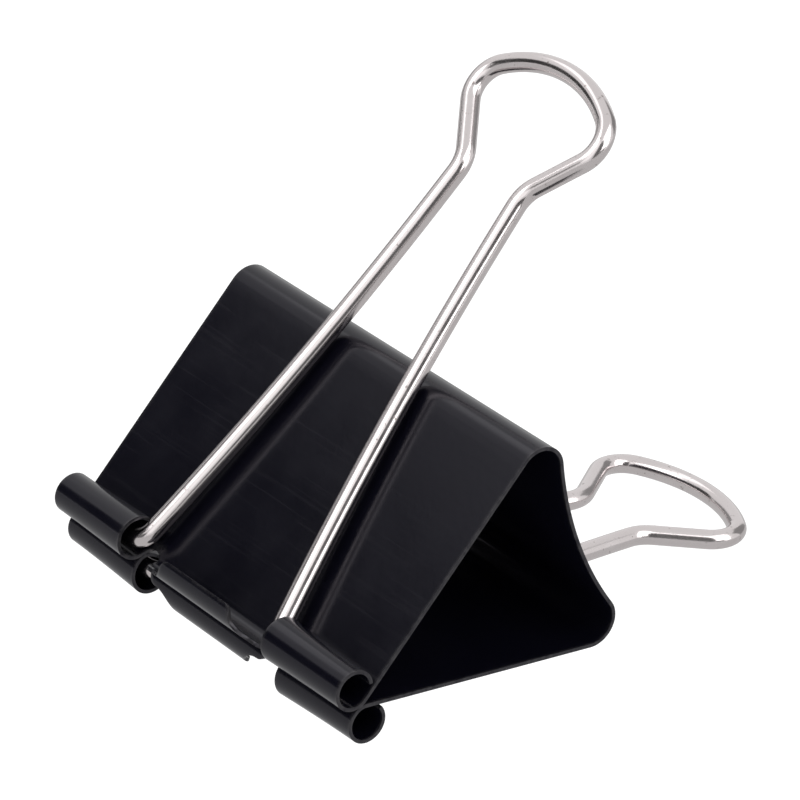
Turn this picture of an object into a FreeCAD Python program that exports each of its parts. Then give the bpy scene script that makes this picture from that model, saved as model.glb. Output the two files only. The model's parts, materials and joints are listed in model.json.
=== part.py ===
"""Binder clip, 51 mm wide: a bent spring-steel body and two wire handles.

Clip frame, used for the shapes: +X along the mouth, +Y from the mouth to the back, +Z across the two
jaws, with the mid-plane of the clip at Z = 0 and the mouth at Y = 0.
Part frame, used for the placements: the clip lies on a table, on its lower curls and on the end of its
lower handle, with +Z up and the origin on the table under the middle of the clip.
The steel body is one folded sheet.  It is cut at its two bends into a back and two jaws, so that the
mouth can open, and each cut lies where the flat jaw runs into the bend.
"""
import FreeCAD, Part
import math
import os

import Sketcher

DRIVING_DIMENSIONS = [
    ("clip_width", 51.0, "length of the mouth"),
    ("sheet_thickness", 0.4, "spring steel sheet"),
    ("curl_radius", 2.2, "outside of the rolled edge that holds a handle"),
    ("mouth_gap", 0.1, "between the two rolled edges when the clip is shut"),
    ("jaw_angle", 26.0, "degrees from the mid-plane to a jaw"),
    ("jaw_length", 28.6, "along a jaw, from its curl's axis to its bend"),
    ("corner_radius", 2.9, "outside of the bend between jaw and back"),
    ("back_radius", 40.0, "outer face of the back, which bows in towards the mouth"),
    ("cut_gap", 0.03, "between the back and a jaw, at the hinge line"),
    ("curl_end_angle", -30.0, "degrees, free edge of an outer curl, seen from its axis"),
    ("tab_end_angle", 85.0, "degrees, free edge of the middle tab"),
    ("lip_end_angle", 200.0, "degrees, edge of the low lip in the two notches"),
    ("notch_outer", 13.1, "from the middle to the inner end of an outer curl"),
    ("tab_base", 8.6, "half width of the middle tab where it leaves the lip"),
    ("tab_tip", 6.1, "half width of the middle tab at its free edge"),
    ("tab_round", 1.0, "arcs of the S-shaped sides of the middle tab"),
    ("relief_depth", 2.2, "cut off the free corner of an outer curl"),
    ("relief_drop", 1.4, "from the curl's axis down to the bottom of that cut"),
    ("wire_diameter", 2.15, "handle wire"),
    ("handle_angle", 25.2, "degrees from the mid-plane to a handle in its lever position"),
    ("foot_end", 18.5, "from the middle to the end of a handle's foot"),
    ("foot_centre", 13.85, "from the middle to the centre of the foot's bend"),
    ("foot_radius", 2.1, "bend between foot and arm, on the wire's centre line"),
    ("arm_radius", 360.0, "the long gentle curve of an arm"),
    ("neck_half", 5.1, "from the middle to the wire at the neck"),
    ("neck_height", 50.6, "from the foot to the centre of the neck's bend"),
    ("neck_radius", 4.0, "bend at the neck"),
    ("flare_angle", 38.0, "degrees from the handle's axis to the flared sides of the loop"),
    ("loop_half", 10.25, "from the middle to the wire at the loop's widest place"),
    ("loop_corner", 3.4, "bend at the loop's two corners"),
    ("handle_length", 65.1, "from the foot to the top of the loop"),
]

JAW_SIDES = {"upper": 0.0, "lower": 180.0}

doc = FreeCAD.newDocument("binder_clip")
sheet = doc.addObject("Spreadsheet::Sheet", "dims")
for row, (alias, value, note) in enumerate(DRIVING_DIMENSIONS, start=1):
    sheet.set("A%d" % row, alias)
    sheet.set("B%d" % row, str(value))
    sheet.set("C%d" % row, note)
    sheet.setAlias("B%d" % row, alias)
doc.recompute()


def dim(alias):
    """A driving dimension, read from the sheet."""
    return float(getattr(sheet, alias))


def point(x, y):
    return FreeCAD.Vector(x, y, 0)


def polar(centre, radius, angle):
    """The point at an angle in radians on a circle."""
    return centre + point(radius * math.cos(angle), radius * math.sin(angle))


def arc(centre, radius, start, end):
    """An arc that runs anticlockwise between two angles in radians."""
    circle = Part.Circle(centre, FreeCAD.Vector(0, 0, 1), radius)
    return Part.ArcOfCircle(circle, start, end)


def new_body(label):
    body = doc.addObject("PartDesign::Body", label)
    body.Label = label
    return body


def new_sketch(body, name, role, offset=None):
    """A sketch on one of the body's own origin planes, moved off it by an expression."""
    sketch = body.newObject("Sketcher::SketchObject", name)
    plane = [item for item in body.Origin.OriginFeatures if item.Role == role][0]
    sketch.AttachmentSupport = [(plane, "")]
    sketch.MapMode = "FlatFace"
    if offset:
        sketch.setExpression("AttachmentOffset.Base.z", offset)
    return sketch


def relate(sketch, *rules):
    """Geometric constraints, each written as a tuple."""
    for rule in rules:
        sketch.addConstraint(Sketcher.Constraint(*rule))


def measure(sketch, name, expression, *rule):
    """A dimension of the sketch, named and bound to the sheet."""
    index = sketch.addConstraint(Sketcher.Constraint(*rule))
    sketch.renameConstraint(index, name)
    sketch.setExpression("Constraints." + name, expression)


def pad(body, sketch, name, length, symmetric=False):
    feature = body.newObject("PartDesign::Pad", name)
    feature.Profile = sketch
    if symmetric:
        feature.SideType = "Symmetric"
    feature.setExpression("Length", length)
    return feature


def mirrored(body, feature, name):
    """The feature repeated on the other side of the body's YZ plane."""
    plane = [item for item in body.Origin.OriginFeatures if item.Role == "YZ_Plane"][0]
    mirror = body.newObject("PartDesign::Mirrored", name)
    mirror.Originals = [feature]
    mirror.MirrorPlane = (plane, [""])
    body.Tip = mirror
    return mirror


def corner_centre():
    """Centre of the upper bend in the clip frame, as (Y, Z)."""
    angle = math.radians(dim("jaw_angle"))
    drop = dim("curl_radius") - dim("sheet_thickness") + dim("corner_radius")
    pivot = dim("mouth_gap") / 2 + dim("curl_radius")
    across = dim("jaw_length") * math.cos(angle) + drop * math.sin(angle)
    up = pivot + dim("jaw_length") * math.sin(angle) - drop * math.cos(angle)
    return across, up


def back_sketch(body):
    """Cross-section of the back: two bends joined by the inward bow, one sheet thick."""
    thickness = dim("sheet_thickness")
    outer = dim("corner_radius")
    bow = dim("back_radius")
    across, up = corner_centre()
    reach = outer + bow
    lean = math.asin(up / reach)
    cut = math.radians(90 + dim("jaw_angle"))
    upper = point(across, up)
    lower = point(across, -up)
    middle = point(across + reach * math.cos(lean), 0)
    sketch = new_sketch(body, "back_section", "YZ_Plane")
    sketch.addGeometry([
        arc(upper, outer, -lean, cut),
        arc(middle, bow, math.pi - lean, math.pi + lean),
        arc(lower, outer, -cut, lean),
        Part.LineSegment(polar(lower, outer, -cut), polar(lower, outer - thickness, -cut)),
        arc(lower, outer - thickness, -cut, lean),
        arc(middle, bow + thickness, math.pi - lean, math.pi + lean),
        arc(upper, outer - thickness, -lean, cut),
        Part.LineSegment(polar(upper, outer - thickness, cut), polar(upper, outer, cut)),
    ], False)
    relate(
        sketch,
        ("Tangent", 0, 1, 1, 1),
        ("Tangent", 1, 2, 2, 2),
        ("Coincident", 2, 1, 3, 1),
        ("Coincident", 3, 2, 4, 1),
        ("Tangent", 4, 2, 5, 2),
        ("Tangent", 5, 1, 6, 1),
        ("Coincident", 6, 2, 7, 1),
        ("Coincident", 7, 2, 0, 2),
        ("Coincident", 4, 3, 2, 3),
        ("Coincident", 5, 3, 1, 3),
        ("Coincident", 6, 3, 0, 3),
        ("Symmetric", 0, 3, 2, 3, -1),
        ("PointOnObject", 0, 3, 7),
        ("PointOnObject", 2, 3, 3),
        ("Equal", 0, 2),
    )
    drop = "(dims.curl_radius - dims.sheet_thickness + dims.corner_radius)"
    angle = "(dims.jaw_angle * 1 deg)"
    measure(sketch, "corner_across", "dims.jaw_length * cos%s + %s * sin%s" % (angle, drop, angle),
            "DistanceX", -1, 1, 0, 3, across)
    measure(sketch, "corner_up",
            "dims.mouth_gap / 2 + dims.curl_radius + dims.jaw_length * sin%s - %s * cos%s"
            % (angle, drop, angle), "DistanceY", -1, 1, 0, 3, up)
    measure(sketch, "corner_outside", "dims.corner_radius", "Radius", 0, outer)
    measure(sketch, "corner_inside", "dims.corner_radius - dims.sheet_thickness",
            "Radius", 6, outer - thickness)
    measure(sketch, "bow", "dims.back_radius", "Radius", 1, bow)
    measure(sketch, "upper_cut", "(90 + dims.jaw_angle) * 1 deg", "Angle", 7, cut)
    measure(sketch, "lower_cut", "(90 - dims.jaw_angle) * 1 deg", "Angle", 3, math.pi - cut)
    return sketch


def make_back():
    body = new_body("back_spine")
    sketch = back_sketch(body)
    pad(body, sketch, "back_pad", "dims.clip_width", symmetric=True)
    return body


def jaw_sketch(body):
    """Cross-section of a jaw, seen from its curl's axis: the flat sheet, running into the low lip."""
    outer = dim("curl_radius")
    inner = outer - dim("sheet_thickness")
    length = dim("jaw_length") - dim("cut_gap")
    lip = math.radians(dim("lip_end_angle"))
    bottom = math.radians(270)
    origin = point(0, 0)
    sketch = new_sketch(body, "jaw_section", "YZ_Plane")
    sketch.addGeometry([
        Part.LineSegment(point(length, -inner), point(0, -inner)),
        arc(origin, inner, lip, bottom),
        Part.LineSegment(polar(origin, inner, lip), polar(origin, outer, lip)),
        arc(origin, outer, lip, bottom),
        Part.LineSegment(point(0, -outer), point(length, -outer)),
        Part.LineSegment(point(length, -outer), point(length, -inner)),
    ], False)
    relate(
        sketch,
        ("Tangent", 0, 2, 1, 2),
        ("Coincident", 1, 1, 2, 1),
        ("Coincident", 2, 2, 3, 1),
        ("Tangent", 3, 2, 4, 1),
        ("Coincident", 4, 2, 5, 1),
        ("Coincident", 5, 2, 0, 1),
        ("Coincident", 1, 3, -1, 1),
        ("Coincident", 3, 3, -1, 1),
        ("PointOnObject", -1, 1, 2),
        ("Horizontal", 0),
        ("Horizontal", 4),
        ("Vertical", 5),
    )
    measure(sketch, "outside", "dims.curl_radius", "Radius", 3, outer)
    measure(sketch, "inside", "dims.curl_radius - dims.sheet_thickness", "Radius", 1, inner)
    measure(sketch, "reach", "dims.jaw_length - dims.cut_gap", "DistanceX", -1, 1, 4, 2, length)
    measure(sketch, "lip_end", "dims.lip_end_angle * 1 deg", "Angle", 2, lip)
    return sketch


def curl_sketch(body, name, end_alias, offset=None):
    """Cross-section of a rolled tab, from the lip round to its free edge."""
    outer = dim("curl_radius")
    inner = outer - dim("sheet_thickness")
    lip = math.radians(dim("lip_end_angle"))
    end = math.radians(dim(end_alias))
    origin = point(0, 0)
    sketch = new_sketch(body, name, "YZ_Plane", offset)
    sketch.addGeometry([
        arc(origin, inner, end, lip),
        Part.LineSegment(polar(origin, inner, lip), polar(origin, outer, lip)),
        arc(origin, outer, end, lip),
        Part.LineSegment(polar(origin, inner, end), polar(origin, outer, end)),
    ], False)
    relate(
        sketch,
        ("Coincident", 0, 2, 1, 1),
        ("Coincident", 1, 2, 2, 2),
        ("Coincident", 2, 1, 3, 2),
        ("Coincident", 3, 1, 0, 1),
        ("Coincident", 0, 3, -1, 1),
        ("Coincident", 2, 3, -1, 1),
        ("PointOnObject", -1, 1, 1),
        ("PointOnObject", -1, 1, 3),
    )
    measure(sketch, "outside", "dims.curl_radius", "Radius", 2, outer)
    measure(sketch, "inside", "dims.curl_radius - dims.sheet_thickness", "Radius", 0, inner)
    measure(sketch, "lip_end", "dims.lip_end_angle * 1 deg", "Angle", 1, lip)
    measure(sketch, "free_edge", "dims.%s * 1 deg" % end_alias, "Angle", 3, end)
    return sketch


def tab_corner_sketch(body):
    """What is cut off one side of the middle tab: an S of two equal arcs between base and tip."""
    base = dim("tab_base")
    tip = dim("tab_tip")
    turn = dim("tab_round")
    low = dim("curl_radius") * math.sin(math.radians(dim("lip_end_angle")))
    high = dim("curl_radius")
    slant = math.atan2(base - tip - turn, high - low - turn)
    lower_end = polar(point(base - turn, low), turn, slant)
    upper_centre = point(tip + turn, high)
    upper_end = polar(upper_centre, turn, math.pi + slant)
    sketch = new_sketch(body, "tab_corner", "XZ_Plane")
    sketch.addGeometry([
        arc(point(base - turn, low), turn, 0, slant),
        Part.LineSegment(lower_end, upper_end),
        arc(upper_centre, turn, math.pi, math.pi + slant),
        Part.LineSegment(point(tip, high), point(tip, high + turn)),
        Part.LineSegment(point(tip, high + turn), point(base, high + turn)),
        Part.LineSegment(point(base, high + turn), point(base, low)),
    ], False)
    relate(
        sketch,
        ("Tangent", 0, 2, 1, 1),
        ("Tangent", 1, 2, 2, 2),
        ("Coincident", 2, 1, 3, 1),
        ("Coincident", 3, 2, 4, 1),
        ("Coincident", 4, 2, 5, 1),
        ("Coincident", 5, 2, 0, 1),
        ("Vertical", 3),
        ("Horizontal", 4),
        ("Vertical", 5),
        ("Horizontal", 0, 3, 0, 1),
        ("Horizontal", 2, 3, 2, 1),
        ("Equal", 0, 2),
    )
    measure(sketch, "turn", "dims.tab_round", "Radius", 0, turn)
    measure(sketch, "base", "dims.tab_base", "DistanceX", -1, 1, 0, 1, base)
    measure(sketch, "tip", "dims.tab_tip", "DistanceX", -1, 1, 2, 1, tip)
    measure(sketch, "low", "-dims.curl_radius * sin(dims.lip_end_angle * 1 deg)",
            "DistanceY", 0, 1, -1, 1, -low)
    measure(sketch, "high", "dims.curl_radius", "DistanceY", -1, 1, 2, 1, high)
    measure(sketch, "top", "dims.tab_round", "DistanceY", 3, 1, 3, 2, turn)
    return sketch


def relief_sketch(body):
    """What is cut off the free corner of an outer curl, behind its top."""
    start = dim("notch_outer")
    depth = dim("relief_depth")
    low = -dim("relief_drop")
    sketch = new_sketch(body, "curl_corner", "XZ_Plane")
    sketch.addGeometry([
        Part.LineSegment(point(start, low + depth), point(start, low)),
        Part.LineSegment(point(start, low), point(start + depth, low)),
        Part.LineSegment(point(start + depth, low), point(start, low + depth)),
    ], False)
    relate(
        sketch,
        ("Coincident", 0, 2, 1, 1),
        ("Coincident", 1, 2, 2, 1),
        ("Coincident", 2, 2, 0, 1),
        ("Vertical", 0),
        ("Horizontal", 1),
        ("Equal", 0, 1),
    )
    measure(sketch, "start", "dims.notch_outer", "DistanceX", -1, 1, 0, 2, start)
    measure(sketch, "low", "dims.relief_drop", "DistanceY", 0, 2, -1, 1, -low)
    measure(sketch, "depth", "dims.relief_depth", "Distance", 1, depth)
    return sketch


def pocket(body, sketch, name, length, reverse):
    """A pocket on one side of its sketch, checked to take material away."""
    before = body.Tip.Shape.Volume
    feature = body.newObject("PartDesign::Pocket", name)
    feature.Profile = sketch
    feature.Reversed = reverse
    feature.setExpression("Length", length)
    doc.recompute()
    if feature.Shape.Volume >= before:
        raise RuntimeError(name + " cuts nothing")
    return feature


def make_jaw(side):
    """A flat jaw with its three rolled tabs; the body's origin is on the axis of the curls."""
    body = new_body(side + "_jaw")
    pad(body, jaw_sketch(body), "jaw_pad", "dims.clip_width", symmetric=True)
    outer = curl_sketch(body, "outer_curl_section", "curl_end_angle", "dims.notch_outer")
    outer_pad = pad(body, outer, "outer_curl", "dims.clip_width / 2 - dims.notch_outer")
    mirrored(body, outer_pad, "outer_curls")
    tab = curl_sketch(body, "middle_tab_section", "tab_end_angle")
    pad(body, tab, "middle_tab", "2 * dims.tab_base", symmetric=True)
    doc.recompute()
    tab_cut = pocket(body, tab_corner_sketch(body), "tab_side", "dims.curl_radius * 2", True)
    mirrored(body, tab_cut, "tab_sides")
    doc.recompute()
    relief = pocket(body, relief_sketch(body), "curl_relief", "dims.curl_radius * 2", False)
    mirrored(body, relief, "curl_reliefs")
    return body


def handle_path(body):
    """Centre line of one half of a handle: foot, bend, bowed arm, neck, flared side, corner, top."""
    foot_turn = dim("foot_radius")
    arm = dim("arm_radius")
    neck_turn = dim("neck_radius")
    corner_turn = dim("loop_corner")
    top = dim("handle_length")
    flare = math.radians(dim("flare_angle"))
    foot = point(dim("foot_centre"), foot_turn)
    neck = point(dim("neck_half") + neck_turn, dim("neck_height"))
    # The arm's circle holds both bends inside it, so its centre is a known distance from each.
    span = neck - foot
    to_foot = arm - foot_turn
    to_neck = arm - neck_turn
    along = (span.Length ** 2 + to_foot ** 2 - to_neck ** 2) / (2 * span.Length)
    aside = math.sqrt(to_foot ** 2 - along ** 2)
    unit = span / span.Length
    arm_centre = foot + unit * along + point(unit.y, -unit.x) * aside
    foot_angle = math.atan2(foot.y - arm_centre.y, foot.x - arm_centre.x) % (2 * math.pi)
    neck_angle = math.atan2(neck.y - arm_centre.y, neck.x - arm_centre.x) % (2 * math.pi)
    # The flared side is tangent to the neck and to the corner, on opposite sides.
    across = point(-math.cos(flare), math.sin(flare))
    forward = point(math.sin(flare), math.cos(flare))
    flare_start = neck + across * neck_turn
    corner_x = dim("loop_half") - corner_turn
    run = (corner_x - neck.x - (neck_turn + corner_turn) * across.x) / forward.x
    flare_end = flare_start + forward * run
    corner = flare_end + across * corner_turn
    # The top arc is centred on the handle's axis and holds the corner's circle inside it.
    rise = top - corner.y
    top_turn = (corner.x ** 2 + rise ** 2 - corner_turn ** 2) / (2 * (rise - corner_turn))
    top_centre = point(0, top - top_turn)
    corner_angle = math.atan2(corner.y - top_centre.y, corner.x)
    sketch = new_sketch(body, "centre_line", "XY_Plane")
    sketch.addGeometry([
        Part.LineSegment(point(dim("foot_end"), 0), point(foot.x, 0)),
        arc(foot, foot_turn, foot_angle, 1.5 * math.pi),
        arc(arm_centre, arm, neck_angle, foot_angle),
        arc(neck, neck_turn, math.pi - flare, neck_angle),
        Part.LineSegment(flare_start, flare_end),
        arc(corner, corner_turn, -flare, corner_angle),
        arc(top_centre, top_turn, corner_angle, math.pi / 2),
    ], False)
    relate(
        sketch,
        ("Tangent", 0, 2, 1, 2),
        ("Tangent", 1, 1, 2, 2),
        ("Tangent", 2, 1, 3, 2),
        ("Tangent", 3, 1, 4, 1),
        ("Tangent", 4, 2, 5, 1),
        ("Tangent", 5, 2, 6, 1),
        ("Horizontal", 0),
        ("PointOnObject", 0, 1, -1),
        ("PointOnObject", 6, 3, -2),
        ("PointOnObject", 6, 2, -2),
    )
    measure(sketch, "foot_end", "dims.foot_end", "DistanceX", -1, 1, 0, 1, dim("foot_end"))
    measure(sketch, "foot_centre", "dims.foot_centre", "DistanceX", -1, 1, 1, 3, foot.x)
    measure(sketch, "foot_radius", "dims.foot_radius", "Radius", 1, foot_turn)
    measure(sketch, "arm_radius", "dims.arm_radius", "Radius", 2, arm)
    measure(sketch, "neck_radius", "dims.neck_radius", "Radius", 3, neck_turn)
    measure(sketch, "neck_across", "dims.neck_half + dims.neck_radius",
            "DistanceX", -1, 1, 3, 3, neck.x)
    measure(sketch, "neck_height", "dims.neck_height", "DistanceY", -1, 1, 3, 3, neck.y)
    measure(sketch, "flare", "(90 - dims.flare_angle) * 1 deg", "Angle", 4, math.pi / 2 - flare)
    measure(sketch, "corner_across", "dims.loop_half - dims.loop_corner",
            "DistanceX", -1, 1, 5, 3, corner.x)
    measure(sketch, "corner_radius", "dims.loop_corner", "Radius", 5, corner_turn)
    measure(sketch, "height", "dims.handle_length", "DistanceY", -1, 1, 6, 2, top)
    return sketch


def make_handle(side):
    """A wire handle; the body's origin is on the axis of its feet, and the loop points to +Y."""
    body = new_body(side + "_handle")
    path = handle_path(body)
    section = new_sketch(body, "wire_section", "YZ_Plane", "dims.foot_end")
    section.addGeometry(Part.Circle(point(0, 0), FreeCAD.Vector(0, 0, 1), dim("wire_diameter") / 2))
    relate(section, ("Coincident", 0, 3, -1, 1))
    measure(section, "wire", "dims.wire_diameter", "Diameter", 0, dim("wire_diameter"))
    wire = body.newObject("PartDesign::AdditivePipe", "half_handle")
    wire.Profile = section
    wire.Spine = (path, [])
    doc.recompute()
    mirrored(body, wire, "whole_handle")
    return body


def turn_about_x(degrees):
    return FreeCAD.Placement(FreeCAD.Vector(), FreeCAD.Rotation(FreeCAD.Vector(1, 0, 0), degrees))


def table_placement():
    """Turns the clip frame so that the lower curls and the lower loop's end both touch the table."""
    pivot = dim("mouth_gap") / 2 + dim("curl_radius")
    wire = dim("wire_diameter") / 2
    slope = math.degrees(math.asin((dim("curl_radius") - wire) / dim("handle_length")))
    tilt = turn_about_x(dim("handle_angle") - slope)
    lower_axis = tilt.multVec(FreeCAD.Vector(0, 0, -pivot))
    upper_axis = tilt.multVec(FreeCAD.Vector(0, 0, pivot))
    front = upper_axis.y - dim("curl_radius")
    rear = lower_axis.y + dim("handle_length") * math.cos(math.radians(slope)) + wire
    shift = FreeCAD.Vector(0, -(front + rear) / 2, dim("curl_radius") - lower_axis.z)
    return FreeCAD.Placement(shift, tilt.Rotation)


def side_placement(side, angle):
    """From a jaw's or a handle's own frame to the part frame."""
    flip = FreeCAD.Placement(FreeCAD.Vector(),
                             FreeCAD.Rotation(FreeCAD.Vector(0, 1, 0), JAW_SIDES[side]))
    pivot = FreeCAD.Placement(FreeCAD.Vector(0, 0, dim("mouth_gap") / 2 + dim("curl_radius")),
                              FreeCAD.Rotation())
    return table_placement() * flip * pivot * turn_about_x(angle)


subparts = [make_back()]
subparts[0].Placement = table_placement()
for jaw_side in JAW_SIDES:
    jaw = make_jaw(jaw_side)
    jaw.Placement = side_placement(jaw_side, dim("jaw_angle"))
    handle = make_handle(jaw_side)
    handle.Placement = side_placement(jaw_side, dim("handle_angle"))
    subparts += [jaw, handle]
doc.recompute()

for item in doc.Objects:
    if "Invalid" in item.State or "Error" in item.State:
        raise RuntimeError("%s failed: %s" % (item.Label, item.State))
for subpart in subparts:
    if subpart.Shape.isNull() or not subpart.Shape.isValid() or len(subpart.Shape.Solids) != 1:
        raise RuntimeError(subpart.Label + " is not one valid solid")

os.makedirs("parts", exist_ok=True)
for subpart in subparts:
    subpart.Shape.exportStep(os.path.join("parts", subpart.Label + ".step"))
    box = subpart.Shape.BoundBox
    print("%-14s volume %8.2f mm3  Y %7.2f to %6.2f  Z %6.2f to %6.2f"
          % (subpart.Label, subpart.Shape.Volume, box.YMin, box.YMax, box.ZMin, box.ZMax))
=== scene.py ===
"""Binder clip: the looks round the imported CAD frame.

The folded sheet is two skins, one for each half, that bend at the hinge lines. Each lever handle is one
swept wire. Lengths are in metres, and places come from the frame's joints and boxes.
"""
import json
import math

import bmesh
import bpy
import numpy as np
from mathutils import Matrix, Vector


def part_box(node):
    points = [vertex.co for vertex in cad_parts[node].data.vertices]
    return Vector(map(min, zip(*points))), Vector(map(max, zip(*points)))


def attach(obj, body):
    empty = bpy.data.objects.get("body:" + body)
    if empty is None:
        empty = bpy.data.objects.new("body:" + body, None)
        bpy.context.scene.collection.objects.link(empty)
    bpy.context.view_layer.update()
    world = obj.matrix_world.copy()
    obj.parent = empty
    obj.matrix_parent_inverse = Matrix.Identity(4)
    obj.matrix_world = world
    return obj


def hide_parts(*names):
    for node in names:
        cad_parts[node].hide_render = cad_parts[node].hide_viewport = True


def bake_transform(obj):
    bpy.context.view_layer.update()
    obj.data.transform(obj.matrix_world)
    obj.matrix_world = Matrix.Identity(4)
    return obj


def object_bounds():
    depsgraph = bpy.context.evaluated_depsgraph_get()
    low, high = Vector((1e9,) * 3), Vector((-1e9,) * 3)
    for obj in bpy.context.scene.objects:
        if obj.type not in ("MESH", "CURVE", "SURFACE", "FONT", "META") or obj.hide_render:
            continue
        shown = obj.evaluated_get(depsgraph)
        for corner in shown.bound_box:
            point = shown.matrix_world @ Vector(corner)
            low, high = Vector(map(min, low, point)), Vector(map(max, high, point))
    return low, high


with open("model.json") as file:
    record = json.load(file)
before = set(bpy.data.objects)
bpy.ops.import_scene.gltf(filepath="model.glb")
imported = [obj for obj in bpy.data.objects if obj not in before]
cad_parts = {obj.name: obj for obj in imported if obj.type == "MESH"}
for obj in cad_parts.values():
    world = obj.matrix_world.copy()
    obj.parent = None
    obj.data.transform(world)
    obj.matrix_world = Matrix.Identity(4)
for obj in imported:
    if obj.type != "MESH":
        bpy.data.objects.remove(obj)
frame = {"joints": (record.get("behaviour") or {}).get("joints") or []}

MM = 0.001
QUARTER = math.pi / 2  # of a turn

# the folded sheet
SHEET = 0.4 * MM
BEND_RADIUS = 2.9 * MM  # outside of the bend between jaw and back
BACK_RADIUS = 40.0 * MM  # the back is hollow, seen from behind
FLARE_OUT = 0.08 * MM  # curl radius over the nominal one, at the outer end
FLARE_IN = 0.30 * MM  # beside the notch
FLARE_TAB = -0.05 * MM  # and on the middle tab
FLARE_POWER = 1.5  # over 1, as most of the widening is near the notch
CURL_SWEEP = math.radians(312)  # how far each rolled edge goes round
TAB_SWEEP = math.radians(175)
LIP_SWEEP = math.radians(86)  # the lip is the low shoulder on each side of the tab
TAB_HALF = 6.1 * MM
TAB_ROUND = 1.0 * MM
LIP_HALF = 10.5 * MM
LIP_ROUND = 1.3 * MM
NOTCH_FILLET = 1.15 * MM  # the slot that the wire swings through ends in a round at the jaw
CURL_IN = 12.97 * MM  # the inner end of an outer curl
CURL_ROUND = 1.8 * MM
MOUTH_PRESS = 0.005 * MM  # the rolled edges press together, where the solids leave 0.1 mm
MOUTH_RUN = 0.9 * MM  # along the roll, over which they come closer
CUT_ANGLE = math.radians(55)  # edges sharper than this are the sheet's cut edges
EDGE_BEVEL = 0.09 * MM
# the band of worn lacquer and painted edge highlight along the cut edges
WEAR_AND_HIGHLIGHT_WIDTH = 0.35 * MM
SHEET_SMOOTH = 40
BLEND_REACH = 1.0 * MM  # two points of the bend lie this far before and below the hinge line

# the density of the meshes
SAME_POINT = 1e-8  # two points of the sheet that are nearer than this are one
TAB_COLUMNS = 41
CURL_COLUMNS = 34
NOTCH_STEP = 0.1 * MM
JAW_STEP = 1.2 * MM
BEND_STEP = 0.25 * MM
BACK_STEP = 0.8 * MM
LIP_ROWS = 36
TAB_ROWS = 44
CURL_ROWS = 90
FOOT_POINTS = 10
ROUND_POINTS = 14
ARM_POINTS = 60
FLARE_POINTS = 8
CORNER_POINTS = 24
TOP_POINTS = 20
WIRE_SIDES = 40
END_RINGS = 5

# the wire of a lever handle, in its own plane: x across, y from the feet to the loop
WIRE = 2.15 * MM / 2
FOOT_END = 18.5 * MM
FOOT_CENTRE = 13.85 * MM
FOOT_RADIUS = 2.1 * MM
ARM_RADIUS = 360.0 * MM
NECK_HALF = 5.1 * MM
NECK_HEIGHT = 50.6 * MM
NECK_RADIUS = 4.0 * MM
FLARE = math.radians(38)
LOOP_HALF = 10.25 * MM
LOOP_CORNER = 3.4 * MM
HANDLE_LENGTH = 65.1 * MM
HANDLE_ANGLE = math.radians(25.2)
END_ROUND = 0.35 * MM  # of the wire's cut ends
WIRE_SMOOTH = 50

# the materials
LACQUER_DEEP = (0.0014, 0.0014, 0.0038, 1)
LACQUER_PALE = (0.0030, 0.0029, 0.0062, 1)
LACQUER_THIN_AND_EDGE_HIGHLIGHT = (0.030, 0.029, 0.031, 1)  # along the cut edges: thin worn lacquer, and a painted edge highlight
LACQUER_SHEEN = (0.94, 0.91, 1.0, 1)
SCUFF_STRETCH = (60, 2600, 2600)  # the scuffs run along the mouth
NICKEL_DEEP = (0.62, 0.572, 0.569, 1)
NICKEL_PALE = (0.69, 0.648, 0.650, 1)
NICKEL_DULL = (0.22, 0.19, 0.18, 1)  # in the specks
BUMP_HEIGHT = 0.02 * MM
WHITE = (1, 1, 1, 1)

# the studio
STUDIO_RADIUS = 0.8
CARD_SHARE = 0.98  # of that radius, so that a card is in front of the lights
FLOOR_HALF = 3.0
FLOOR_DROP = 0.7 * MM  # the wider curls of the visual model reach below the solids
TABLE_CARD = 1.2  # a darker table, which only the object's reflections show
TABLE_CARD_DROP = 0.65 * MM
TABLE_CARD_RADIANCE = 0.62
SURROUNDINGS = (0.92, 0.92, 0.92, 1)
SOFTBOXES = {  # azimuth, elevation, width and height in degrees as the object sees them, and radiance
    "key": (-15, 45, 30, 24, 2.2),
    "front": (25, 32, 28, 44, 0.45),
    "left": (-62, 54, 50, 14, 0.9),
    "right": (102, 36, 48, 58, 2.0),
}
DARK_CARDS = {  # the same
    "dark_card": (-42, 16, 40, 27, 0.03),
    "grey_card": (-8, 9, 28, 20, 0.15),
    "camera_card": (67, 22, 30, 54, 0.10),
    "left_wall": (-86, 2, 38, 30, 0.30),
    "right_wall": (90, 0, 34, 26, 0.30),
    "back_wall": (178, 20, 40, 44, 0.30),
}

# the camera
VIEW_AZIMUTH = 51.69
VIEW_ELEVATION = 25.38
VIEW_ROLL = math.radians(3.94)
VIEW_DISTANCE = 0.5636
VIEW_LENS = 244.92
VIEW_SENSOR = 36
VIEW_CLIP = (0.01, 20)
AIM = Vector((0.00338, -0.01223, -0.0039))  # from the middle of the object's box

JOINTS = {joint["name"]: joint for joint in frame["joints"]}


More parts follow.
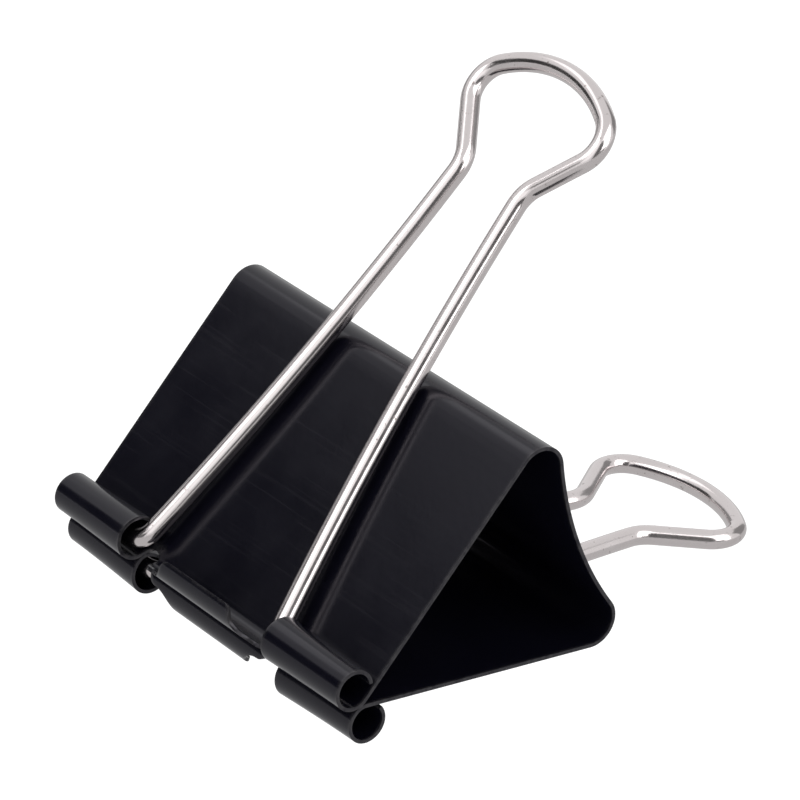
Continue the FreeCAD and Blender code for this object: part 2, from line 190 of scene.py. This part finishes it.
class ClipFrame:
    """The clip's own frame: y from the mouth to the back in the plane between the jaws, z across it."""

    def __init__(self):
        upper, lower = self.place("upper_handle_swing"), self.place("lower_handle_swing")
        hinge_up, hinge_low = self.place("upper_jaw_flex"), self.place("lower_jaw_flex")
        self.origin = (upper + lower) / 2
        along = (hinge_up + hinge_low) / 2 - self.origin
        self.along = along / np.linalg.norm(along)
        self.across = np.array([-self.along[1], self.along[0]])
        self.pivot = float((upper - self.origin) @ self.across)
        hinge = hinge_up - self.origin
        self.hinge = np.array([hinge @ self.along, hinge @ self.across])
        low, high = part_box("lower_jaw")
        self.curl_radius = float(lower[1]) - low.z
        self.half_width = high.x

    @staticmethod
    def place(joint):
        """(y, z) of the joint in the row frame."""
        return np.array(JOINTS[joint]["pos_m"][1:], float)

    def world(self, points, side=1):
        """Points (x, y, z) of this frame, in the row frame. side -1 mirrors them to the lower half."""
        p = np.atleast_2d(points)
        yz = self.origin + p[:, 1:2] * self.along + side * p[:, 2:3] * self.across
        return np.column_stack([p[:, 0], yz])


CLIP = ClipFrame()


def ease(share):
    """A smooth step from 0 to 1."""
    share = np.clip(share, 0, 1)
    return share**2 * (3 - 2 * share)


def polar(radius, turn):
    """The place at that distance and angle from the origin."""
    return radius * np.array([math.cos(turn), math.sin(turn)])


class Section:
    """The upper half of the sheet's section.

    The length s along it is below 0 on the rolled edge, 0 where the jaw starts, and s_end in the middle of
    the back.
    """

    def __init__(self):
        reach = CLIP.hinge - [0, CLIP.pivot]
        inset = CLIP.curl_radius - SHEET
        self.flat = math.sqrt(reach @ reach - inset**2)
        self.angle = math.atan2(reach[1], reach[0]) + math.atan2(inset, self.flat)
        self.d = polar(1, self.angle)
        self.n = np.array([-self.d[1], self.d[0]])
        self.bend_centre = CLIP.hinge - self.n * BEND_RADIUS
        spread = BEND_RADIUS + BACK_RADIUS
        self.lean = math.asin(self.bend_centre[1] / spread)
        self.back_centre = np.array([self.bend_centre[0] + spread * math.cos(self.lean), 0])
        self.s_bend = self.flat + (QUARTER + self.angle + self.lean) * BEND_RADIUS
        self.s_end = self.s_bend + self.lean * BACK_RADIUS

    def radius(self, x):
        """Outer radius of the roll at x. A curl widens towards its notch, and the tab is a bit tighter."""
        share = np.clip((CLIP.half_width - np.abs(x)) / (CLIP.half_width - CURL_IN), 0, 1)
        curl = FLARE_OUT + (FLARE_IN - FLARE_OUT) * share**FLARE_POWER
        inner = ease((CURL_IN - np.abs(x)) / (CURL_IN - LIP_HALF))
        return CLIP.curl_radius + curl + (FLARE_TAB - curl) * inner

    def roll(self, x, s, depth):
        """Place on a rolled edge. It starts flush with the jaw, and then closes the mouth."""
        radius = self.radius(x)
        flush = radius - CLIP.curl_radius
        shut = (radius - MOUTH_PRESS - CLIP.pivot) / math.cos(self.angle)
        rise = flush + (shut - flush) * ease(-s / MOUTH_RUN)
        along, across = polar(radius - SHEET + depth, s / CLIP.curl_radius - QUARTER)
        return [0, CLIP.pivot] + self.d * along + self.n * (rise + across)

    def point(self, x, s, depth):
        """Place of the blank's point (x, s), depth below the face that the jaw shows outside."""
        if s <= 0:
            yz = self.roll(x, s, depth)
        elif s <= self.flat:
            yz = [0, CLIP.pivot] + self.d * s + self.n * (SHEET - CLIP.curl_radius - depth)
        elif s <= self.s_bend:
            turn = QUARTER + self.angle - (s - self.flat) / BEND_RADIUS
            yz = self.bend_centre + polar(BEND_RADIUS - depth, turn)
        else:
            turn = math.pi - self.lean + (s - self.s_bend) / BACK_RADIUS
            yz = self.back_centre + polar(BACK_RADIUS + depth, turn)
        return x, yz[0], yz[1]


SECTION = Section()


def steps(start, end, size):
    """Evenly spaced values from start to end, no further apart than size."""
    return list(np.linspace(start, end, max(2, int(math.ceil(abs(end - start) / size)) + 1)))


def clustered(start, end, count):
    """Values from start to end that crowd together at both ends."""
    return [start + (end - start) * (1 - math.cos(math.pi * k / count)) / 2 for k in range(count + 1)]


def fillet(reach, radius):
    """How far a round of that radius stands off its straight side, reach away from where it starts."""
    return radius - math.sqrt(max(0.0, radius**2 - max(0.0, radius - reach) ** 2))


def tab_half(u):
    """Half width of the middle tab with its lip, u along the roll from the jaw."""
    tip = CLIP.curl_radius * TAB_SWEEP
    lip = CLIP.curl_radius * LIP_SWEEP
    if u <= lip:
        return LIP_HALF + fillet(u, NOTCH_FILLET) - fillet(lip - u, LIP_ROUND)
    return TAB_HALF + fillet(u - lip, LIP_HALF - LIP_ROUND - TAB_HALF) - fillet(tip - u, TAB_ROUND)


def curl_start(u):
    """The inner end of an outer curl, u along the roll from the jaw."""
    tip = CLIP.curl_radius * CURL_SWEEP
    return CURL_IN - fillet(u, NOTCH_FILLET) + fillet(tip - u, CURL_ROUND)


class Blank:
    """The flat sheet as a grid of (x, s) points, with patches that share the points on their borders."""

    def __init__(self):
        self.points, self.index, self.faces = [], {}, []

    def vertex(self, x, s):
        """The number of that point, which is added if it is new."""
        key = (round(x / SAME_POINT), round(s / SAME_POINT))
        if key not in self.index:
            self.index[key] = len(self.points)
            self.points.append((x, s))
        return self.index[key]

    def patch(self, rows):
        """rows: a list of lists of (x, s), all of one length."""
        ids = [[self.vertex(x, s) for x, s in row] for row in rows]
        for lower, upper in zip(ids, ids[1:]):
            for i in range(len(lower) - 1):
                corners = [lower[i], lower[i + 1], upper[i + 1], upper[i]]
                distinct = [c for k, c in enumerate(corners) if c != corners[k - 1]]
                if len(distinct) > 2:
                    self.faces.append(distinct)

    def rims(self):
        """The border as pairs of points, each in the direction of its own face."""
        pairs = dict.fromkeys(pair for face in self.faces for pair in zip(face, face[1:] + face[:1]))
        return [(a, b) for a, b in pairs if (b, a) not in pairs]


def jaw_and_back(blank, columns):
    """The flat jaw, the bend and half of the back."""
    rows = steps(0, SECTION.flat, JAW_STEP)
    rows += steps(SECTION.flat, SECTION.s_bend, BEND_STEP)[1:]
    rows += steps(SECTION.s_bend, SECTION.s_end, BACK_STEP)[1:]
    blank.patch([[(x, s) for x in columns] for s in rows])


def middle_tab(blank, columns):
    """The middle tab with its lip."""
    lip, tip = CLIP.curl_radius * LIP_SWEEP, CLIP.curl_radius * TAB_SWEEP
    half = columns[-1]
    rows = clustered(0, lip, LIP_ROWS) + clustered(lip, tip, TAB_ROWS)[1:]
    blank.patch([[(x / half * tab_half(u), -u) for x in columns] for u in reversed(rows)])


def outer_curl(blank, columns, side):
    """The rolled edge beside the tab, on one side of it."""
    notch, outer = columns[0], columns[-1]
    shares = [(x - notch) / (outer - notch) for x in columns]
    rows = []
    for u in reversed(clustered(0, CLIP.curl_radius * CURL_SWEEP, CURL_ROWS)):
        start = curl_start(u)
        row = [(side * (start + share * (outer - start)), -u) for share in shares]
        rows.append(row[::side])
    blank.patch(rows)


def blank_of_half():
    """The blank of one half of the sheet, with its tab, notches and rolled edges."""
    blank = Blank()
    tab, notch = tab_half(0), curl_start(0)
    middle = list(np.linspace(-tab, tab, TAB_COLUMNS))
    roll = clustered(notch, CLIP.half_width, CURL_COLUMNS)
    right = steps(tab, notch, NOTCH_STEP)[1:] + roll[1:]
    jaw_and_back(blank, [-x for x in reversed(right)] + middle + right)
    middle_tab(blank, middle)
    for side in (1, -1):
        outer_curl(blank, roll, side)
    return blank


def added(name, data):
    """A new object in the scene that shows that mesh, light or camera."""
    item = bpy.data.objects.new(name, data)
    bpy.context.scene.collection.objects.link(item)
    return item


def solid(name, places, faces):
    """A new piece with that mesh, its faces turned outwards."""
    mesh = bpy.data.meshes.new(name)
    mesh.from_pydata([Vector(p) for p in places], [], faces)
    work = bmesh.new()
    work.from_mesh(mesh)
    bmesh.ops.recalc_face_normals(work, faces=work.faces)
    work.to_mesh(mesh)
    work.free()
    return added(name, mesh)


def smooth(piece, angle):
    """Smooth shading, but for edges sharper than that angle in degrees."""
    piece.data.shade_smooth()
    piece.data.set_sharp_from_angle(angle=math.radians(angle))


def mark_cut_edges(mesh, lengths):
    """Gives the bevel the sheet's sharp edges, but not the two halves' join in the middle of the back."""
    work = bmesh.new()
    work.from_mesh(mesh)
    weight = work.edges.layers.float.new("bevel_weight_edge")
    for edge in work.edges:
        joined = min(lengths[vertex.index] for vertex in edge.verts) >= SECTION.s_end
        if not joined and edge.calc_face_angle(0) > CUT_ANGLE:
            edge[weight] = 1.0
    work.to_mesh(mesh)
    work.free()


# the mask of worn lacquer, which also places the painted edge highlight
def edge_wear_and_highlight(points, rims):
    """1 on the sheet's cut edges, falling to 0 at WEAR_AND_HIGHLIGHT_WIDTH from them."""
    cut = np.array([points[a] for a, b in rims if min(points[a][1], points[b][1]) < SECTION.s_end])
    gaps = [np.min(np.hypot(*(cut - point).T)) for point in np.array(points)]
    return np.clip(1 - np.array(gaps) / WEAR_AND_HIGHLIGHT_WIDTH, 0, 1)


def round_cut_edges(piece):
    """Bevels the marked edges, and makes the bevelled mesh the piece's own."""
    bevel = piece.modifiers.new("rounded_edges", "BEVEL")
    bevel.width = EDGE_BEVEL
    bevel.segments = 2
    bevel.limit_method = "WEIGHT"
    bevel.use_clamp_overlap = True
    graph = bpy.context.evaluated_depsgraph_get()
    graph.update()
    mesh = bpy.data.meshes.new_from_object(piece.evaluated_get(graph))
    piece.modifiers.clear()
    piece.data = mesh


def skin(name, side):
    """One half of the sheet as a closed mesh of its two faces and its cut edges."""
    blank = blank_of_half()
    rims = blank.rims()
    count = len(blank.points)
    places = [SECTION.point(x, s, depth) for depth in (0, SHEET) for x, s in blank.points]
    faces = blank.faces + [[v + count for v in reversed(face)] for face in blank.faces]
    faces += [[b, a, a + count, b + count] for a, b in rims]
    piece = solid(name, CLIP.world(places, side), faces)
    mark_cut_edges(piece.data, [s for _, s in blank.points] * 2)
    # worn edges, which also carry the painted edge highlight
    wear_and_edge_highlight = piece.data.attributes.new("wear_and_edge_highlight", "FLOAT", "POINT")
    wear_and_edge_highlight.data.foreach_set("value", np.tile(edge_wear_and_highlight(blank.points, rims), 2))
    round_cut_edges(piece)
    smooth(piece, SHEET_SMOOTH)
    return piece


def arc(centre, radius, start, end, count):
    """Points on an arc, without its first."""
    return [centre + polar(radius, turn) for turn in np.linspace(start, end, count + 1)[1:]]


def arm_centre(foot, neck):
    """Centre of the arm's wide arc, which runs smoothly into the rounds at the foot and at the neck."""
    to_foot, to_neck = ARM_RADIUS - FOOT_RADIUS, ARM_RADIUS - NECK_RADIUS
    span = np.linalg.norm(neck - foot)
    unit = (neck - foot) / span
    share = (span**2 + to_foot**2 - to_neck**2) / (2 * span)
    aside = math.sqrt(to_foot**2 - share**2)
    return foot + unit * share + np.array([unit[1], -unit[0]]) * aside


def heading(start, end):
    """The angle of the line from start to end, from 0 to a full turn."""
    return math.atan2(*(end - start)[::-1]) % (2 * math.pi)


def loop_line(neck):
    """The right half of the loop, from the end of the neck's round to the middle of the top."""
    inward = np.array([-math.cos(FLARE), math.sin(FLARE)])
    forward = np.array([math.sin(FLARE), math.cos(FLARE)])
    corner_x = LOOP_HALF - LOOP_CORNER
    run = (corner_x - neck[0] - (NECK_RADIUS + LOOP_CORNER) * inward[0]) / forward[0]
    start = neck + inward * NECK_RADIUS
    corner = start + forward * run + inward * LOOP_CORNER
    rise = HANDLE_LENGTH - corner[1]
    top_radius = (corner[0] ** 2 + rise**2 - LOOP_CORNER**2) / (2 * (rise - LOOP_CORNER))
    top = np.array([0, HANDLE_LENGTH - top_radius])
    top_turn = math.atan2(corner[1] - top[1], corner[0])
    line = [start + forward * run * k / FLARE_POINTS for k in range(1, FLARE_POINTS + 1)]
    line += arc(corner, LOOP_CORNER, -FLARE, top_turn, CORNER_POINTS)
    return line + arc(top, top_radius, top_turn, QUARTER, TOP_POINTS)


def handle_line():
    """Centre line of a handle, from one foot's end to the other's."""
    foot = np.array([FOOT_CENTRE, FOOT_RADIUS])
    neck = np.array([NECK_HALF + NECK_RADIUS, NECK_HEIGHT])
    arm = arm_centre(foot, neck)
    foot_turn, neck_turn = heading(arm, foot), heading(arm, neck)
    half = [np.array([x, 0.0]) for x in np.linspace(FOOT_END, FOOT_CENTRE, FOOT_POINTS)]
    half += arc(foot, FOOT_RADIUS, 3 * QUARTER, foot_turn, ROUND_POINTS)
    half += arc(arm, ARM_RADIUS, foot_turn, neck_turn, ARM_POINTS)
    half += arc(neck, NECK_RADIUS, neck_turn, 2 * QUARTER - FLARE, ROUND_POINTS)
    half += loop_line(neck)
    return half + [np.array([-p[0], p[1]]) for p in reversed(half[:-1])]


def end_rings(end, inward):
    """The centres and radii of the wire's rings at a rounded cut end, from the cut inwards."""
    rings = []
    for k in range(END_RINGS):
        turn = QUARTER * k / END_RINGS
        centre = end + inward * END_ROUND * (1 - math.cos(turn))
        rings.append((centre, WIRE - END_ROUND * (1 - math.sin(turn))))
    return rings


def wire_rings(line):
    """The rings of a wire along that line: centre, tangent, radius."""
    ahead, behind = line[1:] + line[-1:], line[:1] + line[:-1]
    tangents = [(b - a) / np.linalg.norm(b - a) for a, b in zip(behind, ahead)]
    first, last = tangents[0], tangents[-1]
    rings = [(centre, first, radius) for centre, radius in end_rings(line[0], first)]
    rings += [(centre, tangent, WIRE) for centre, tangent in zip(line[1:-1], tangents[1:-1])]
    return rings + [(centre, last, radius) for centre, radius in reversed(end_rings(line[-1], -last))]


def wire_places(rings):
    """Places in the clip's frame of the points on all rings of the upper handle."""
    places = []
    for centre, tangent, radius in rings:
        for k in range(WIRE_SIDES):
            aside, lift = polar(radius, 2 * math.pi * k / WIRE_SIDES)
            x = centre[0] - tangent[1] * aside
            along = centre[1] + tangent[0] * aside
            y = along * math.cos(HANDLE_ANGLE) - lift * math.sin(HANDLE_ANGLE)
            z = along * math.sin(HANDLE_ANGLE) + lift * math.cos(HANDLE_ANGLE)
            places.append((x, y, CLIP.pivot + z))
    return places


def tube_faces(ring_count, sides):
    """The faces between neighbouring rings, and the two ends."""
    faces = []
    for start in range(0, (ring_count - 1) * sides, sides):
        for k in range(sides):
            a, b = start + k, start + (k + 1) % sides
            faces.append([a, b, b + sides, a + sides])
    last = (ring_count - 1) * sides
    return faces + [list(range(sides)), list(reversed(range(last, last + sides)))]


def wire_handle(name, side):
    """A handle as a round wire swept along its line, with slightly rounded cut ends."""
    rings = wire_rings(handle_line())
    piece = solid(name, CLIP.world(wire_places(rings), side), tube_faces(len(rings), WIRE_SIDES))
    smooth(piece, WIRE_SMOOTH)
    return piece


class Look:
    """A material, with the few kinds of node that it is made from."""

    def __init__(self, name):
        self.material = bpy.data.materials.new(name)
        self.material.use_nodes = True
        self.nodes = self.material.node_tree.nodes
        self.shader = self.nodes["Principled BSDF"]

    def feed(self, socket, value):
        """value: another node's output, or a number or colour."""
        if isinstance(value, bpy.types.NodeSocket):
            self.material.node_tree.links.new(value, socket)
        else:
            socket.default_value = value

    def set(self, key, value):
        """Gives the shader's own socket a value."""
        self.feed(self.shader.inputs[key], value)

    def where(self, stretch=None):
        """Places on the object, with each axis multiplied if there is a stretch."""
        place = self.nodes.new("ShaderNodeTexCoord").outputs["Object"]
        if stretch is None:
            return place
        node = self.nodes.new("ShaderNodeMapping")
        node.inputs["Scale"].default_value = stretch
        self.feed(node.inputs["Vector"], place)
        return node.outputs["Vector"]

    def noise(self, place, scale, detail=3.0):
        """Soft noise from 0 to 1."""
        node = self.nodes.new("ShaderNodeTexNoise")
        node.inputs["Scale"].default_value = scale
        node.inputs["Detail"].default_value = detail
        self.feed(node.inputs["Vector"], place)
        return node.outputs["Fac"]

    def attribute(self, name):
        """The number that the mesh keeps under that name."""
        node = self.nodes.new("ShaderNodeAttribute")
        node.attribute_name = name
        return node.outputs["Fac"]

    def mapped(self, value, span, new_span):
        """The value with one span of numbers stretched onto another, and held at its ends."""
        node = self.nodes.new("ShaderNodeMapRange")
        self.feed(node.inputs["Value"], value)
        for key, number in zip(("From Min", "From Max", "To Min", "To Max"), span + new_span):
            self.feed(node.inputs[key], number)
        return node.outputs["Result"]

    def tint(self, share, first, second):
        """The colour between first and second."""
        node = self.nodes.new("ShaderNodeMix")
        node.data_type = "RGBA"
        for key, value in zip(("Factor", "A", "B"), (share, first, second)):
            self.feed(node.inputs[key], value)
        return node.outputs["Result"]

    def combined(self, operation, first, second):
        """The sum or product of two outputs."""
        node = self.nodes.new("ShaderNodeMath")
        node.operation = operation
        self.feed(node.inputs[0], first)
        self.feed(node.inputs[1], second)
        return node.outputs["Value"]

    def bump(self, height, strength):
        """The surface's direction with that relief on it."""
        node = self.nodes.new("ShaderNodeBump")
        node.inputs["Strength"].default_value = strength
        node.inputs["Distance"].default_value = BUMP_HEIGHT
        self.feed(node.inputs["Height"], height)
        return node.outputs["Normal"]


def lacquer():
    """Black lacquer on spring steel: a soft gloss, fine scuffs, and thin lacquer along the cut edges,
    lightened there as a painted edge highlight.
    """
    look = Look("black_lacquer")
    where = look.where()
    cloud = look.noise(where, scale=180)
    peel = look.noise(where, scale=1400)
    scuffs = look.noise(look.where(SCUFF_STRETCH), scale=1.0, detail=5.0)
    patchy = look.mapped(peel, (0.35, 0.65), (0.3, 1.0))
    # thin lacquer on the cut edges, lighter as a painted edge highlight
    worn_and_highlit = look.combined("MULTIPLY", look.attribute("wear_and_edge_highlight"), patchy)
    sound = look.tint(cloud, LACQUER_DEEP, LACQUER_PALE)
    gloss = look.mapped(cloud, (0.3, 0.7), (0.15, 0.20))
    scuffed = look.mapped(scuffs, (0.55, 0.75), (0.0, 0.06))
    look.set("Base Color", look.tint(worn_and_highlit, sound, LACQUER_THIN_AND_EDGE_HIGHLIGHT))
    look.set("Roughness", look.combined("ADD", gloss, scuffed))
    look.set("Normal", look.bump(peel, strength=0.15))
    look.set("IOR", 1.38)
    look.set("Specular Tint", LACQUER_SHEEN)
    return look.material


def nickel():
    """Bright nickel plating on drawn wire, with small dull specks from handling."""
    look = Look("nickel_wire")
    where = look.where()
    cloud = look.noise(where, scale=300)
    speck = look.mapped(look.noise(where, scale=1500), (0.66, 0.76), (0.0, 1.0))
    clean = look.tint(cloud, NICKEL_DEEP, NICKEL_PALE)
    polish = look.mapped(cloud, (0.3, 0.7), (0.14, 0.20))
    dull = look.mapped(speck, (0.0, 1.0), (0.0, 0.15))
    look.set("Base Color", look.tint(speck, clean, NICKEL_DULL))
    look.set("Metallic", 1.0)
    look.set("Roughness", look.combined("ADD", polish, dull))
    look.set("Normal", look.bump(look.noise(where, scale=2500), strength=0.08))
    return look.material


def glow(name, base, roughness, radiance):
    """A matt surface that shines by itself, for the floor and the cards."""
    look = Look(name)
    look.set("Base Color", (base, base, base, 1))
    look.set("Roughness", roughness)
    look.set("Specular IOR Level", 0.0)
    look.set("Emission Color", WHITE)
    look.set("Emission Strength", radiance)
    return look.material


def panel(name, across, high, material):
    """A flat rectangle that faces +Z, round its own origin."""
    mesh = bpy.data.meshes.new(name)
    x, y = across / 2, high / 2
    mesh.from_pydata([(-x, -y, 0), (x, -y, 0), (x, y, 0), (-x, y, 0)], [], [(0, 1, 2, 3)])
    mesh.materials.append(material)
    return added(name, mesh)


def floor(height):
    """The plain pale floor."""
    material = glow("floor_white", base=0.3, roughness=0.9, radiance=0.9)
    piece = panel("floor", 2 * FLOOR_HALF, 2 * FLOOR_HALF, material)
    piece.location.z = height


def card(name, across, high, radiance):
    """A panel of the studio that only mirrors in the wires and the lacquer."""
    piece = panel(name, across, high, glow(name, base=0.01, roughness=1.0, radiance=radiance))
    piece.visible_camera = False
    piece.visible_shadow = False
    return piece


def direction(azimuth, elevation):
    """The unit vector towards that place in the studio. Azimuth 0 is in front, at -Y, and 90 at +X."""
    a, e = math.radians(azimuth), math.radians(elevation)
    return Vector((math.sin(a) * math.cos(e), -math.cos(a) * math.cos(e), math.sin(e)))


def extent(degrees):
    """Length of a panel that takes up that angle from STUDIO_RADIUS away."""
    return 2 * STUDIO_RADIUS * math.tan(math.radians(degrees) / 2)


def hang(item, azimuth, elevation, distance):
    """Puts a light or card in its place in the studio. Its Z axis points away from the object."""
    outwards = direction(azimuth, elevation)
    item.location = outwards * distance
    item.rotation_mode = "QUATERNION"
    item.rotation_quaternion = outwards.to_track_quat("Z", "Y")


def softbox(name, azimuth, elevation, across, high, radiance):
    """A soft rectangular light that takes up those angles as the object sees it."""
    data = bpy.data.lights.new(name, "AREA")
    data.shape = "RECTANGLE"
    data.size, data.size_y = extent(across), extent(high)
    data.energy = radiance * math.pi * data.size * data.size_y
    hang(added(name, data), azimuth, elevation, STUDIO_RADIUS)


def dark_card(name, azimuth, elevation, across, high, radiance):
    """A dark panel beside the lights that takes up those angles as the object sees it."""
    piece = card(name, extent(across), extent(high), radiance)
    hang(piece, azimuth, elevation, STUDIO_RADIUS * CARD_SHARE)


def camera(middle):
    """The camera at the photo's viewing angle, aimed at AIM from the middle of the object's box."""
    back = direction(VIEW_AZIMUTH, VIEW_ELEVATION)
    level = direction(VIEW_AZIMUTH + 90, 0)
    right = level * math.cos(VIEW_ROLL) + back.cross(level) * math.sin(VIEW_ROLL)
    turn = Matrix([right, back.cross(right), back]).transposed().to_4x4()
    data = bpy.data.cameras.new("camera")
    data.lens = VIEW_LENS
    data.sensor_width = VIEW_SENSOR
    data.clip_start, data.clip_end = VIEW_CLIP
    item = added("camera", data)
    item.matrix_world = Matrix.Translation(middle + AIM + back * VIEW_DISTANCE) @ turn
    bpy.context.scene.camera = item


def build():
    """Makes the four pieces, hides the CAD parts that they replace, and hangs each wire on its handle's
    body.
    """
    black, bright = lacquer(), nickel()
    y, z = CLIP.hinge
    bend = [(0, y + BEND_RADIUS, z - BLEND_REACH), (0, y - BLEND_REACH, z)]
    for half, side in (("upper", 1), ("lower", -1)):
        sheet = skin(f"{half}_sheet", side)
        sheet.data.materials.append(black)
        behind, before = CLIP.world(bend, side)
        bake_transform(sheet)
        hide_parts(f"{half}_jaw", "back_spine")
        wire = wire_handle(f"{half}_wire", side)
        wire.data.materials.append(bright)
        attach(wire, f"{half}_handle")
        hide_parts(f"{half}_handle")


def studio(ground):
    """White surroundings and soft lights, with dark cards for the streaks in the wires and the lacquer."""
    floor(ground - FLOOR_DROP)
    table = card("table_card", TABLE_CARD, TABLE_CARD, TABLE_CARD_RADIANCE)
    table.location.z = ground - TABLE_CARD_DROP
    for name, values in SOFTBOXES.items():
        softbox(name, *values)
    for name, values in DARK_CARDS.items():
        dark_card(name, *values)
    world = bpy.data.worlds.new("studio")
    world.use_nodes = True
    background = world.node_tree.nodes["Background"]
    background.inputs["Color"].default_value = SURROUNDINGS
    background.inputs["Strength"].default_value = 1.0
    bpy.context.scene.world = world
    bpy.context.scene.view_settings.view_transform = "Standard"


cad_low, cad_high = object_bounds()
build()
camera((cad_low + cad_high) / 2)
studio(cad_low.z)
